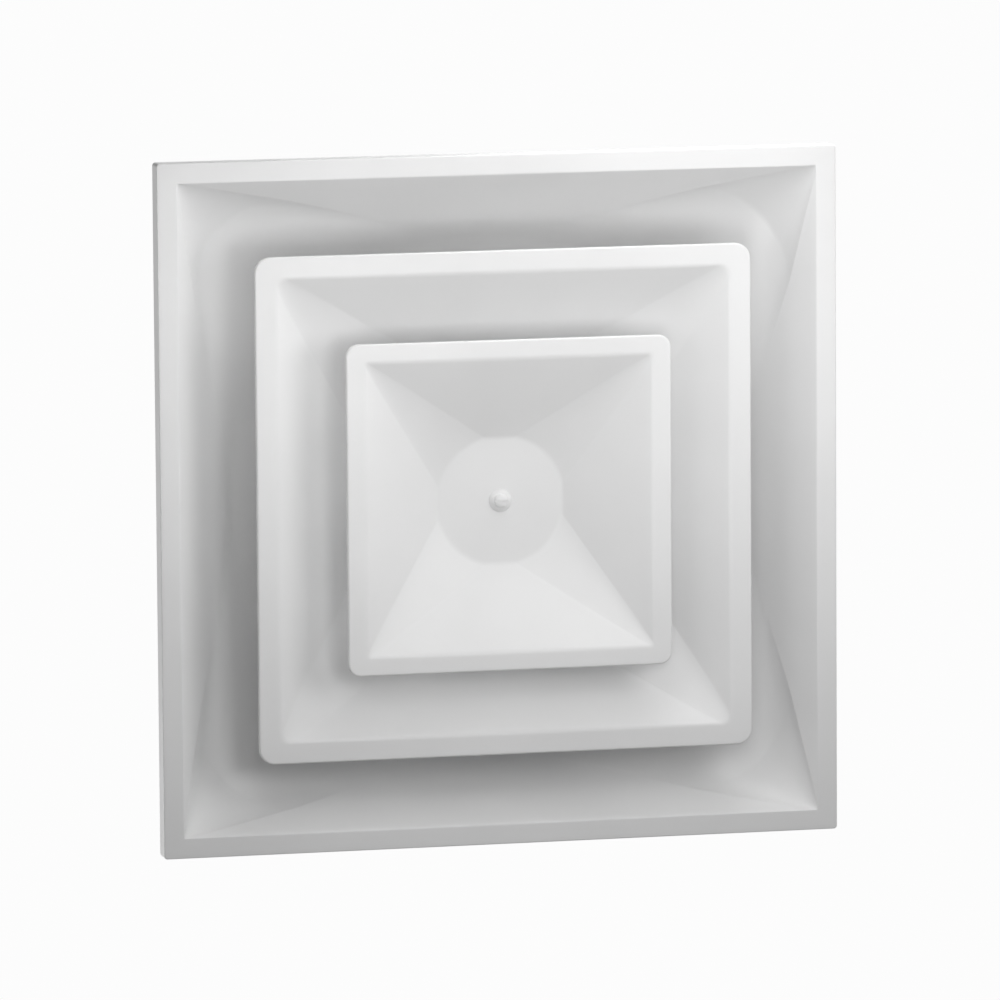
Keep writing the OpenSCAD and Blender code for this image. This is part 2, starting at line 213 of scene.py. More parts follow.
# ---------------------------------------------------------------- pressed square-to-round sheet
CORNER_STEPS = 26
FLAT_STEPS = 7
# Share of a corner or a flat between a crease and the column beside it, which keeps the crease crisp.
CREASE = 0.012
# The most of a stretch between two levels that one bend may take.
MOST_REACH = 0.45


def column_places():
    """Places around a pressed piece: which quarter each is in, how far its corner has turned
    (0 to 1), and how far along the flat after that corner it is (0 to 1)."""
    turn = np.concatenate([[0, CREASE], np.linspace(0, 1, CORNER_STEPS)[1:-1], [1 - CREASE, 1]])
    along = np.concatenate([[CREASE], np.linspace(0, 1, FLAT_STEPS)[1:-1], [1 - CREASE]])
    turn_all = np.concatenate([turn, np.ones(len(along))])
    along_all = np.concatenate([np.zeros(len(turn)), along])
    quarter = np.repeat(np.arange(4), len(turn_all))
    return quarter, np.tile(turn_all, 4), np.tile(along_all, 4)


QUARTER, TURNED, ALONG = column_places()


def corner_point(quarter, turned, off, r, flat_angle):
    """A point of a corner arc: the arc's centre is off from both axes, and its angle goes from
    flat_angle to 90 degrees less flat_angle."""
    angle = (quarter + (flat_angle + (np.pi / 2 - 2 * flat_angle) * turned) * 2 / np.pi) * np.pi / 2
    side_x = np.where((quarter % 4 == 0) | (quarter % 4 == 3), 1, -1)
    side_y = np.where(quarter % 4 < 2, 1, -1)
    return np.stack([off * side_x + r * np.cos(angle), off * side_y + r * np.sin(angle)], -1)


def level(off, r, flat_angle, z, rise=0.0):
    """One closed level: four corner arcs joined by straight flats, at height z. Along each corner
    it may rise and fall again, by half a sine wave."""
    start = corner_point(QUARTER, TURNED, off, r, flat_angle)
    end = corner_point(QUARTER + 1, 0 * TURNED, off, r, flat_angle)
    plan = start * (1 - ALONG[:, None]) + end * ALONG[:, None]
    height = z + rise * np.sin(np.pi * TURNED)
    return np.concatenate([plan, height[:, None]], 1)


def square_level(half, r, z, rise=0.0):
    """A square with rounded corners. Its flats are parallel to X and Y."""
    return level(half - r, r, 0.0, z, rise)


def round_level(r, flat_angle, z):
    """A circle that is cut by four flats, each of which spans twice the flat angle."""
    return level(0.0, r, flat_angle, z)


def circle_level(r, flat_angle, z):
    """A true circle, whose columns lie at the angles of a round level's columns."""
    angle = QUARTER * np.pi / 2 + flat_angle + (np.pi / 2 - 2 * flat_angle) * TURNED
    angle = angle + 2 * flat_angle * ALONG
    return np.stack([r * np.cos(angle), r * np.sin(angle), np.full(len(angle), z)], -1)


def rounded_path(stations, bend_steps=7):
    """Rows that run from level to level. A station is (level, reach, steps): the path is straight
    and cut into that many steps up to the station's bend, a parabola that starts "reach" before
    the level and ends "reach" after it. The first and the last level have no bend."""
    levels = np.array([station[0] for station in stations])
    rows = [levels[:1]]
    last = levels[0]
    for k, (here, reach, steps) in enumerate(stations[1:], 1):
        ends_here = k == len(stations) - 1
        enter = here
        if not ends_here:
            before, after = levels[k - 1] - here, levels[k + 1] - here
            long_before = np.linalg.norm(before, axis=1, keepdims=True)
            long_after = np.linalg.norm(after, axis=1, keepdims=True)
            reach = np.minimum(reach, MOST_REACH * np.minimum(long_before, long_after))
            enter = here + before / long_before * reach
            leave = here + after / long_after * reach
        share = np.linspace(0, 1, steps + 1)[1:, None, None]
        rows.append(last + (enter - last) * share)
        if not ends_here:
            rows.append(parabola(enter, here, leave, np.linspace(0, 1, bend_steps)[1:, None, None]))
            last = leave
    return np.concatenate(rows)


def pressed(path):
    """Sheet whose room face is the given path of rows, with its back one thickness behind. The
    rows are taken from the last to the first, so that the front's normal faces the room."""
    front = path[::-1]
    return sheet(front, front - SHEET * grid_normals(front, True), True)


def pan_path():
    """The border's folded edge, the border, the sloped walls with their shouldered corners, and
    the flat top up to the neck's hole."""
    shoulder_half = OPEN_HALF - SHOULDER_IN
    return rounded_path([
        (square_level(PANEL_HALF, PANEL_CORNER_R, EDGE_H), 0, 0),
        (square_level(PANEL_HALF, PANEL_CORNER_R, 0), 1.3 * MM, 4),
        (square_level(OPEN_HALF, OPENING_CORNER_R, 0), 1.4 * MM, 4),
        (square_level(shoulder_half, SHOULDER_R, SHOULDER_H, SHOULDER_RISE), 2.8 * MM, 7),
        (round_level(PAN_TOP_R, PAN_FLAT_A, PAN_UNDER), 9 * MM, 12),
        (circle_level(COLLAR_BORE, PAN_FLAT_A, PAN_UNDER), 0, 12),
    ])


def cone_path(half, rim_w, outer_r, inner_r, rim_z, wall):
    """A cone's turned-up hem, its flat rim with softly rounded edges, and its wall, which is given
    as stations."""
    return rounded_path([
        (square_level(half, outer_r, rim_z + HEM_H), 0, 0),
        (square_level(half, outer_r, rim_z), 1.8 * MM, 3),
        (square_level(half - rim_w, inner_r, rim_z), 3.2 * MM, 6),
        *wall,
    ])


def middle_path():
    """The middle cone, whose wall ends in the upright lip of its throat."""
    throat_top = MIDDLE_HIGH.z
    return cone_path(MIDDLE_HALF, MIDDLE_RIM_W, MIDDLE_CORNER_R, MIDDLE_INNER_R, MIDDLE_LOW.z, [
        (round_level(THROAT_R, THROAT_FLAT_A, throat_top - THROAT_LIP_H), 3 * MM, 14),
        (round_level(THROAT_R, THROAT_FLAT_A, throat_top), 0, 4),
    ])


def inner_path():
    """The inner cone, whose wall ends in the flat disc with the screw's hole."""
    disc_z = INNER_HIGH.z - SHEET
    return cone_path(INNER_HALF, INNER_RIM_W, INNER_CORNER_R, INNER_INNER_R, INNER_LOW.z, [
        (round_level(DISC_R, DISC_FLAT_A, disc_z), 2.6 * MM, 14),
        (circle_level(SCREW_HOLE_R, DISC_FLAT_A, disc_z), 0, 10),
    ])


# ---------------------------------------------------------------- turned and bent pieces
def turned(profile, columns):
    """A profile of (radius, height) points turned about +Z. It starts on the axis, goes out and
    up, and ends on the axis, where one point closes each end with a fan."""
    profile = np.array(profile, float)
    points, quads = ring_grid(profile[1:-1], columns, False)
    ends = np.array([[0, 0, profile[0, 1]], [0, 0, profile[-1, 1]]])
    low, high, last = len(points), len(points) + 1, len(points) - columns
    fans = [[(j + 1) % columns, j, low] for j in range(columns)]
    fans += [[last + j, last + (j + 1) % columns, high] for j in range(columns)]
    return np.concatenate([points, ends]), quads, fans


def ring_grid(profile, columns, closed):
    """The points and quads of a profile of (radius, height) points turned about +Z."""
    angle = np.arange(columns) / columns * TURN
    radius = profile[:, :1]
    height = np.repeat(profile[:, 1:], columns, 1)
    grid = np.stack([radius * np.cos(angle), radius * np.sin(angle), height], -1)
    return grid.reshape(-1, 3), grid_quads(len(profile), columns, True, closed)


def turned_ring(profile, columns):
    """A closed profile of (radius, height) points, up its outside and down its inside, turned
    about +Z."""
    return *ring_grid(np.array(profile, float), columns, True), []


def rounded_line(corners, reach, steps=5):
    """A polyline in a plane whose inner corners are parabolas that reach that far each way."""
    corners = np.array(corners, float)
    line = [corners[:1]]
    for before, here, after in zip(corners[:-2], corners[1:-1], corners[2:]):
        enter = here + (before - here) / np.linalg.norm(before - here) * reach
        leave = here + (after - here) / np.linalg.norm(after - here) * reach
        line.append(parabola(enter, here, leave, np.linspace(0, 1, steps)[:, None]))
    line.append(corners[-1:])
    return np.concatenate(line)


def along_path(line, section):
    """A closed section of (Y, height) points carried along a line in X and Z, and capped at both
    ends. Each point is the line's point, plus Y, plus the height along the line's left normal."""
    tangent = np.gradient(line, axis=0)
    tangent /= np.linalg.norm(tangent, axis=1, keepdims=True)
    up = np.stack([-tangent[:, 1], tangent[:, 0]], 1)
    plane = line[:, None] + up[:, None] * section[None, :, 1:]
    across = np.broadcast_to(section[:, 0], plane.shape[:2])
    return capped(np.stack([plane[..., 0], across, plane[..., 1]], -1))


def flat_section(width, thickness, edge=0.3 * MM):
    """A rectangle over the line, with small cut corners."""
    half, top = width / 2, thickness
    return np.array([
        [-half + edge, 0], [half - edge, 0], [half, edge], [half, top - edge],
        [half - edge, top], [-half + edge, top], [-half, top - edge], [-half, edge],
    ])


# ---------------------------------------------------------------- the pieces' shapes
def bump(u):
    """A raised cosine, 1 at the middle and 0 where u is 1 or more."""
    return np.where(np.abs(u) < 1, 0.5 + 0.5 * np.cos(np.pi * np.clip(u, -1, 1)), 0)


def collar():
    """A rolled tube on a flat flange, with a bead near its top and a spot-welded lap along one
    side. The bead's swell is a raised cosine of the height."""
    flange_top = PLATE_TOP + SHEET
    wall_from = flange_top + 9 * MM
    bead_half_h = 3.2 * MM
    edge = 0.2 * MM
    foot_edge = 0.3 * MM
    bend = rounded_line(
        [(COLLAR_FLANGE_R, flange_top), (COLLAR_R, flange_top), (COLLAR_R, wall_from)], 2.2 * MM, 7)
    wall_z = np.linspace(wall_from, COLLAR_HIGH.z - 0.3 * MM, 70)[1:]
    swell = BEAD_OUT * bump((wall_z - BEAD_Z) / bead_half_h)
    outside = np.stack([COLLAR_R + swell, wall_z], 1)
    inside = np.stack([COLLAR_BORE + swell, wall_z], 1)[::-1]
    foot = [(COLLAR_BORE, flange_top + 5 * MM), (COLLAR_BORE, PLATE_TOP + foot_edge),
            (COLLAR_BORE + foot_edge, PLATE_TOP)]
    rim = [(COLLAR_FLANGE_R - edge, PLATE_TOP), (COLLAR_FLANGE_R, PLATE_TOP + edge)]
    tube = turned_ring(np.concatenate([rim, bend, outside, inside, foot]), columns=160)
    return joined([tube, collar_lap()])


def collar_lap():
    """The lap of the tube: a strip over the seam, pressed in at each spot weld by a bell curve of
    the distance from the weld."""
    seam = radians(-28)
    half_w = 8 * MM / COLLAR_R
    lap_t = 0.7 * MM
    sunk = 0.2 * MM
    dent_deep, dent_r = 0.4 * MM, 1.9 * MM
    z = np.linspace(PLATE_TOP + 4 * MM, BEAD_Z - 4.5 * MM, 60)[:, None]
    angle = (seam + np.linspace(half_w, -half_w, 25))[None, :]
    weld_z = np.linspace(PLATE_TOP + 8 * MM, BEAD_Z - 8 * MM, 3)
    off_z = z[..., None] - weld_z
    away = np.sqrt(off_z**2 + ((angle[..., None] - seam) * COLLAR_R) ** 2)
    dent = (dent_deep * np.exp(-((away / dent_r) ** 2))).sum(-1)

    def wrapped(radius):
        """The strip's points at a radius, which may differ from point to point."""
        points = np.broadcast_arrays(radius * np.cos(angle), radius * np.sin(angle), z)
        return np.stack(points, -1)[:, ::-1]

    return sheet(wrapped(COLLAR_R + lap_t - dent), wrapped(COLLAR_R - sunk), False)


def bridge():
    """A channel across the neck, with flat ends. Its section goes down one lip, up inside it,
    across the web and down the other lip."""
    under = BRIDGE_HIGH.z - STRAP_T
    lip_end = COLLAR_BORE - BRIDGE_LIP_GAP
    overlap = 1 * MM
    half = STRAP_W / 2
    depth = BRIDGE_LOW.z - under
    outside = rounded_line([(half, depth), (half, STRAP_T), (-half, STRAP_T), (-half, depth)],
                           2.4 * MM, 6)
    inner = half - STRAP_T
    inside = rounded_line([(-inner, depth), (-inner, 0), (inner, 0), (inner, depth)], 0.7 * MM, 6)
    channel = along_path(np.array([[-lip_end, under], [lip_end, under]]),
                         np.concatenate([outside, inside]))
    end = along_path(np.array([[lip_end - overlap, under], [COLLAR_FLANGE_R, under]]),
                     flat_section(STRAP_W, STRAP_T))
    return joined([channel, end, mirrored(end)])


def cross_strap(base_z):
    """A strap that is flat in its middle, with its underside at base_z, and rises at both ends to
    a foot on the throat's lip."""
    low, top = MIDDLE_HIGH.z - THROAT_LIP_H + SHEET, MIDDLE_HIGH.z
    line = rounded_line([
        (-THROAT_FLAT, top), (-THROAT_FLAT, low), (-STRAP_FLAT, base_z),
        (STRAP_FLAT, base_z), (THROAT_FLAT, low), (THROAT_FLAT, top),
    ], 4 * MM, 7)
    return along_path(line, flat_section(STRAP_W, STRAP_T))


def hanger_tab():
    """A tab bent twice, whose X and Y are 0 at its hanger hole. Its lug is a plate that runs from
    the hole's circle out to an outline, round at its far end and straight at its bend."""
    half_w = TAB_W / 2
    upright = -TAB_LUG_L / 2
    plate_from = upright + 1.5 * MM
    lug_z = TAB_HIGH.z - PLATE_TOP - TAB_T
    strip = along_path(rounded_line(
        [(TAB_BASE_X, 0), (upright, 0), (upright, lug_z), (plate_from, lug_z)], 1.3 * MM, 6,
    ), flat_section(TAB_W, TAB_T))
    angle = np.linspace(0, TURN, 97)[:-1]
    side = half_w / np.maximum(np.abs(np.sin(angle)), 1e-6)
    end = -plate_from / np.maximum(-np.cos(angle), 1e-6)
    outline = np.where(np.cos(angle) > 0, half_w, np.minimum(side, end))
    share = np.array([0, 0.02, 0.5, 0.98, 1])[:, None]
    r = HANGER_HOLE_R + (outline - HANGER_HOLE_R) * share
    edge = 0.2 * MM * np.array([1, 0, 0, 0, 1])[:, None]
    x, y = r * np.cos(angle), r * np.sin(angle)
    top = np.stack([x, y, lug_z + TAB_T - edge + 0 * r], -1)
    bottom = np.stack([x, y, lug_z + edge + 0 * r], -1)
    return joined([strip, sheet(top[::-1], bottom[::-1], True)])


def rivet(grip):
    """A blind rivet: a domed head with its mandrel's recess, the body, and the swollen tail. Head
    and tail are arcs of an ellipse."""
    stem_r, recess_r = 0.7 * MM, 0.8 * MM
    head_arc, tail_arc = np.linspace(0.35, 1.45, 7), np.linspace(1.4, 0.3, 7)
    head = [(RIVET_HEAD_R * np.sin(t), -RIVET_HEAD_T * np.cos(t)) for t in head_arc]
    tail = [(RIVET_TAIL_R * np.sin(t), grip + RIVET_HEAD_T * np.cos(t)) for t in tail_arc]
    return turned([
        (0, -0.6 * MM), (stem_r, -0.6 * MM), (recess_r, -RIVET_HEAD_T + 0.1 * MM), *head,
        (RIVET_HEAD_R, 0), (RIVET_R, 0), (RIVET_R, grip), (RIVET_TAIL_R, grip), *tail,
        (recess_r, grip + RIVET_HEAD_T), (stem_r, grip + 0.9 * MM), (0, grip + 0.9 * MM),
    ], columns=28)


def rivets_at(places, grip, outward=None):
    """Copies of one rivet at (X, Y, Z) places, with their heads down. Where the level (X, Y)
    directions in "outward" are given, each rivet lies along its own, with its head outwards."""
    points, quads, polygons = rivet(grip)
    parts = []
    for k, place in enumerate(places):
        turn = np.eye(3)
        if outward is not None:
            x, y = outward[k]
            turn = np.array([[y, -x, 0], [0, 0, 1], [-x, -y, 0]], float)
        parts.append((points @ turn + np.array(place), quads, polygons))
    return joined(parts)


def threaded_rod(r, low, high, pitch, columns=30, rows_per_pitch=6):
    """A rod with a thread. Its radius falls from r by a share of the pitch that depends on the
    phase, height over pitch less angle over a turn: a flattened triangle wave. Over the last
    stretch at its upper end the rod narrows to tip_share of its radius."""
    tip_share, tip_h = 0.72, 1.2 * pitch
    z = np.linspace(low, high, int((high - low) / pitch * rows_per_pitch))[:, None]
    angle = (np.arange(columns) / columns * TURN)[None, :]
    wave = np.abs(2 * ((z / pitch - angle / TURN) % 1) - 1)
    depth = 0.54 * pitch * np.clip(1.25 * wave - 0.12, 0, 1)
    tip = np.clip((high - z) / tip_h, 0, 1)
    radius = (r - depth) * (tip_share + (1 - tip_share) * tip)
    return capped(np.stack([radius * np.cos(angle), radius * np.sin(angle), z + 0 * angle], -1))


def slotted_head(r, low, high, slot_w, slot_deep):
    """A domed head with a slot along X. Its face is a grid over the disc, whose rows are chords
    at Y = r sin(t); its depth is an ellipse of the distance from the axis, or the slot's floor."""
    slot = slot_w / 2
    dome_share, dome_bend = 0.6, 0.998
    outer = r * np.sin(np.linspace(radians(-88), radians(88), 41))
    outer = outer[np.abs(outer) > slot * 1.05]
    y = np.concatenate([outer[outer < 0], [-slot, -slot, 0, slot, slot], outer[outer > 0]])[:, None]
    floor_from = int((outer < 0).sum()) + 1
    x = np.sqrt(r**2 - y**2) * np.sin(np.linspace(-1, 1, 33) * np.pi / 2)[None, :]
    away = np.minimum(np.hypot(x, y) / r, 1)
    depth = dome_share * (high - low) * (1 - np.sqrt(1 - dome_bend * away**2))
    floor = slice(floor_from, floor_from + 3)
    depth[floor] = np.maximum(depth[floor], slot_deep)
    face = np.stack([x, y + 0 * x, low + depth], -1)
    back = np.stack([x, y + 0 * x, high + 0 * x], -1)
    return sheet(face[:, ::-1], back[:, ::-1], False)


def screw():
    """The centre screw: its slotted head under the washer, and its threaded rod."""
    head_top = WASHER_LOW.z
    head = slotted_head(SCREW_HEAD_R, SCREW_LOW.z, head_top, slot_w=1.6 * MM, slot_deep=1.8 * MM)
    rod = threaded_rod(SCREW_R, head_top - 0.3 * MM, SCREW_HIGH.z, THREAD_PITCH)
    return joined([head, rod])


def washer():
    """A dished washer: a flat seat for the head, then a cone down to the disc, with a rolled rim."""
    low, high = WASHER_LOW.z, WASHER_HIGH.z
    seat_r = SCREW_HEAD_R + 0.8 * MM
    return turned_ring([
        (seat_r, low), (seat_r + 0.4 * MM, low + 0.1 * MM),
        (WASHER_R - 0.4 * MM, high - 0.75 * MM), (WASHER_R - 0.1 * MM, high - 0.55 * MM),
        (WASHER_R, high - 0.3 * MM), (WASHER_R - 0.1 * MM, high),
        (SCREW_HOLE_R, high), (SCREW_HOLE_R, low + 0.2 * MM), (SCREW_HOLE_R + 0.2 * MM, low),
    ], columns=72)


def clinch_nut():
    """The nut's body, its wide flange above the bridge, and its bore."""
    low, high, seat = NUT_LOW.z, NUT_HIGH.z, BRIDGE_HIGH.z
    body, flange, bore = NUT_BODY_R, NUT_HIGH.x, SCREW_R + RUN_FIT
    chamfer, edge = 0.4 * MM, 0.2 * MM
    return turned_ring([
        (body - chamfer, low), (body, low + chamfer), (body, seat), (flange - edge, seat),
        (flange, seat + edge), (flange, high - chamfer), (flange - chamfer, high),
        (bore + chamfer, high), (bore, high - chamfer), (bore, low + chamfer), (bore + chamfer, low),
    ], columns=48)


def guide_pin():
    """A headed pin: the stub through the strap, the collar over it, the shank and a round tip."""
    low, high = PIN_LOW.z, PIN_HIGH.z
    strap_top = LOWER_STRAP_LOW.z + STRAP_T
    wide = PIN_R + 1.5 * MM
    collar_top = strap_top + 2 * MM
    chamfer = 0.4 * MM
    return turned([
        (0, low), (PIN_STUB_R, low), (PIN_STUB_R, strap_top), (wide, strap_top),
        (wide, collar_top - chamfer), (wide - chamfer, collar_top), (PIN_R, collar_top),
        (PIN_R, high - 1.1 * MM), (PIN_R - 0.15 * MM, high - 0.7 * MM),
        (PIN_R - 0.5 * MM, high - 0.3 * MM), (PIN_STUB_R, high), (0, high),
    ], columns=36)


def sleeve():
    """A plain tube with chamfered ends."""
    low, high, outer, bore = SLEEVE_LOW.z, SLEEVE_HIGH.z, SLEEVE_HIGH.x, SCREW_HOLE_R
    chamfer = 0.4 * MM
    return turned_ring([
        (outer - chamfer, low), (outer, low + chamfer), (outer, high - chamfer),
        (outer - chamfer, high), (bore + chamfer, high), (bore, high - chamfer),
        (bore, low + chamfer), (bore + chamfer, low),
    ], columns=48)


# ---------------------------------------------------------------- finishes
def finish_nodes(name, metallic, roughness):
    """A new material: its node tree, its shader and its Object coordinates."""
    material = bpy.data.materials.new(name)
    material.use_nodes = True
    tree = material.node_tree
    shader = tree.nodes["Principled BSDF"]
    shader.inputs["Metallic"].default_value = metallic
    shader.inputs["Roughness"].default_value = roughness
    place = tree.nodes.new("ShaderNodeTexCoord").outputs["Object"]
    return material, tree, shader, place


def noise(tree, place, scale, detail):
    """Soft random patches, about 1 / scale metres across."""
    node = tree.nodes.new("ShaderNodeTexNoise")
    node.inputs["Scale"].default_value = scale
    node.inputs["Detail"].default_value = detail
    tree.links.new(place, node.inputs["Vector"])
    return node.outputs["Fac"]


def ranged(tree, value, low, high, from_low=0.3, from_high=0.7):
    """A value mapped from one range to another."""
    node = tree.nodes.new("ShaderNodeMapRange")
    node.inputs["From Min"].default_value = from_low
    node.inputs["From Max"].default_value = from_high
    node.inputs["To Min"].default_value = low
    node.inputs["To Max"].default_value = high
    tree.links.new(value, node.inputs["Value"])
    return node.outputs["Result"]


def calculated(tree, operation, first, second):
    """A sum or product of two values, each of them a number or a node's output."""
    node = tree.nodes.new("ShaderNodeMath")
    node.operation = operation
    for socket, value in zip(node.inputs, (first, second)):
        if isinstance(value, (int, float)):
            socket.default_value = value
        else:
            tree.links.new(value, socket)
    return node.outputs["Value"]


def blended(tree, share, colour_a, colour_b):
    """A colour between two colours."""
    node = tree.nodes.new("ShaderNodeMix")
    node.data_type = "RGBA"
    node.inputs["A"].default_value = (*colour_a, 1)
    node.inputs["B"].default_value = (*colour_b, 1)
    tree.links.new(share, node.inputs["Factor"])
    return node.outputs["Result"]


def raised(tree, shader, height, strength, distance):
    """Fine relief, in the shading only: a height of 1 stands "distance" above a height of 0."""
    node = tree.nodes.new("ShaderNodeBump")
    node.inputs["Strength"].default_value = strength
    node.inputs["Distance"].default_value = distance
    tree.links.new(height, node.inputs["Height"])
    tree.links.new(node.outputs["Normal"], shader.inputs["Normal"])


def white_enamel():
    """Baked satin enamel: faint orange peel, slow waves of the sheet, and a little unevenness."""
    material, tree, shader, place = finish_nodes("white_enamel", 0.0, 0.36)
    tone = noise(tree, place, scale=9.0, detail=2.0)
    tree.links.new(blended(tree, ranged(tree, tone, 0, 1), (0.80, 0.80, 0.80), (0.83, 0.83, 0.83)),
                   shader.inputs["Base Color"])
    gloss = noise(tree, place, scale=38.0, detail=3.0)
    tree.links.new(ranged(tree, gloss, 0.33, 0.41), shader.inputs["Roughness"])
    peel = noise(tree, place, scale=900.0, detail=2.0)
    wave = noise(tree, place, scale=14.0, detail=1.0)
    height = calculated(tree, "ADD", calculated(tree, "MULTIPLY", peel, 0.02),
                        calculated(tree, "MULTIPLY", wave, 0.35))
    raised(tree, shader, height, strength=0.35, distance=0.6 * MM)
    return material


def galvanised_sheet():
    """Hot-dip zinc: flat spangles of different brightness and gloss, whose outlines are warped by
    noise, with a fine grain."""
    material, tree, shader, place = finish_nodes("galvanised_sheet", 0.9, 0.42)
    spangle = tree.nodes.new("ShaderNodeTexVoronoi")
    spangle.inputs["Scale"].default_value = 105.0
    warp = tree.nodes.new("ShaderNodeTexNoise")
    warp.inputs["Scale"].default_value = 160.0
    tree.links.new(place, warp.inputs["Vector"])
    shifted = tree.nodes.new("ShaderNodeVectorMath")
    shifted.operation = "MULTIPLY_ADD"
    shifted.inputs[1].default_value = (8 * MM, 8 * MM, 8 * MM)
    tree.links.new(warp.outputs["Color"], shifted.inputs[0])
    tree.links.new(place, shifted.inputs[2])
    tree.links.new(shifted.outputs["Vector"], spangle.inputs["Vector"])
    split = tree.nodes.new("ShaderNodeSeparateColor")
    tree.links.new(spangle.outputs["Color"], split.inputs["Color"])
    cell, other = split.outputs["Red"], split.outputs["Green"]
    dull = noise(tree, place, scale=22.0, detail=4.0)
    shade = calculated(tree, "ADD", calculated(tree, "MULTIPLY", cell, 0.65),
                       calculated(tree, "MULTIPLY", dull, 0.35))
    tree.links.new(blended(tree, ranged(tree, shade, 0, 1, 0.1, 0.9), (0.50, 0.52, 0.54),
                           (0.74, 0.76, 0.77)), shader.inputs["Base Color"])
    tree.links.new(ranged(tree, other, 0.34, 0.52, 0, 1), shader.inputs["Roughness"])
    grain = noise(tree, place, scale=1400.0, detail=2.0)
    height = calculated(tree, "ADD", calculated(tree, "MULTIPLY", cell, 0.25), grain)
    raised(tree, shader, height, strength=0.12, distance=0.2 * MM)
    return material


def plain_metal(name, dark, light, roughness, grain_scale):
    """Bare or plated metal with fine grain and patches that are a little duller."""
    material, tree, shader, place = finish_nodes(name, 1.0, roughness)
    patch = noise(tree, place, scale=180.0, detail=3.0)
    tree.links.new(blended(tree, ranged(tree, patch, 0, 1), dark, light), shader.inputs["Base Color"])
    tree.links.new(ranged(tree, patch, roughness - 0.05, roughness + 0.09), shader.inputs["Roughness"])
    grain = noise(tree, place, grain_scale, detail=2.0)
    raised(tree, shader, grain, strength=0.12, distance=0.1 * MM)
    return material


# Each finish, by the name of its material slot.
FINISHES = {
    "white_enamel": white_enamel(),
    "galvanised_sheet": galvanised_sheet(),
    "rivet_aluminium": plain_metal("rivet_aluminium", (0.66, 0.67, 0.68), (0.80, 0.80, 0.81),
                                   0.36, 2600.0),
    "zinc_plate": plain_metal("zinc_plate", (0.62, 0.64, 0.66), (0.76, 0.77, 0.76), 0.27, 3200.0),
}


# ---------------------------------------------------------------- the assembly
SHARP_ANGLE = radians(40)
RIVET_RING = (np.arange(COLLAR_RIVETS) + 0.5) * TURN / COLLAR_RIVETS
RIVET_OFF = STRAP_W / 4
THROAT_RIVET_Z = MIDDLE_HIGH.z - THROAT_LIP_H / 2 + SHEET
THROAT_OUT = THROAT_FLAT + SHEET
PIN_X = (PIN_LOW.x + PIN_HIGH.x) / 2
CORNERS = [(x, y) for x in (-1, 1) for y in (-1, 1)]


def put_piece(name, part, body, slot, node):
    """Makes a mesh piece that rides on a body and stands for a CAD node. Its edges are sharp where
    they bend by more than SHARP_ANGLE."""
    points, quads, polygons = part
    mesh = bpy.data.meshes.new(name)
    mesh.from_pydata(points.tolist(), [], quads.tolist() + polygons)
    mesh.validate()
    mesh.shade_smooth()
    mesh.set_sharp_from_angle(angle=SHARP_ANGLE)
    mesh.materials.append(FINISHES[slot])
    piece = bpy.data.objects.new(name, mesh)
    bpy.context.scene.collection.objects.link(piece)
    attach(piece, body)
    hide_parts(node)


def frame_pieces():
    """What stays in the ceiling: the pan, the neck, the bridge with its nut, and the tabs."""
    ring = [(RIVET_CIRCLE_R * np.cos(a), RIVET_CIRCLE_R * np.sin(a), PAN_UNDER) for a in RIVET_RING]
    under_bridge = [(x * RIVET_CIRCLE_R, y * RIVET_OFF, PAN_UNDER - STRAP_T) for x, y in CORNERS]
    under_tabs = [(x * (TAB_CENTRE + TAB_RIVET_X), y * TAB_CENTRE, PAN_UNDER) for x, y in CORNERS]
    for name, part, slot, node in [
        ("back_pan_sheet", pressed(pan_path()), "white_enamel", "back_pan"),
        ("neck_collar_tube", collar(), "galvanised_sheet", "neck_collar"),
        ("neck_bridge_channel", bridge(), "galvanised_sheet", "neck_bridge"),
        ("clinch_nut_turned", clinch_nut(), "zinc_plate", "clinch_nut"),
        ("collar_blind_rivets", rivets_at(ring, 2 * SHEET), "rivet_aluminium", "collar_rivets"),
        ("bridge_blind_rivets", rivets_at(under_bridge, STRAP_T + 2 * SHEET), "rivet_aluminium",
         "bridge_rivets"),
        ("tab_blind_rivets", rivets_at(under_tabs, SHEET + TAB_T), "rivet_aluminium", "tab_rivets"),
    ]:
        put_piece(name, part, "frame", slot, node)
    for x, y in CORNERS:
        corner = ("rear" if y > 0 else "front") + ("_right" if x > 0 else "_left")
        tab = hanger_tab() if x > 0 else mirrored(hanger_tab())
        put_piece("bent_tab_" + corner, moved(tab, x * TAB_CENTRE, y * TAB_CENTRE, PLATE_TOP),
                  "frame", "galvanised_sheet", "hanger_tab_" + corner)


def throat_rivets():
    """Two rivets through each foot of the straps and the throat's lip, with their heads outside."""
    places, outward = [], []
    for x, y in ((1, 0), (0, 1), (-1, 0), (0, -1)):
        for shift in (-RIVET_OFF, RIVET_OFF):
            places.append((x * THROAT_OUT - y * shift, y * THROAT_OUT + x * shift, THROAT_RIVET_Z))
            outward.append((x, y))
    return rivets_at(places, SHEET + STRAP_T, outward)


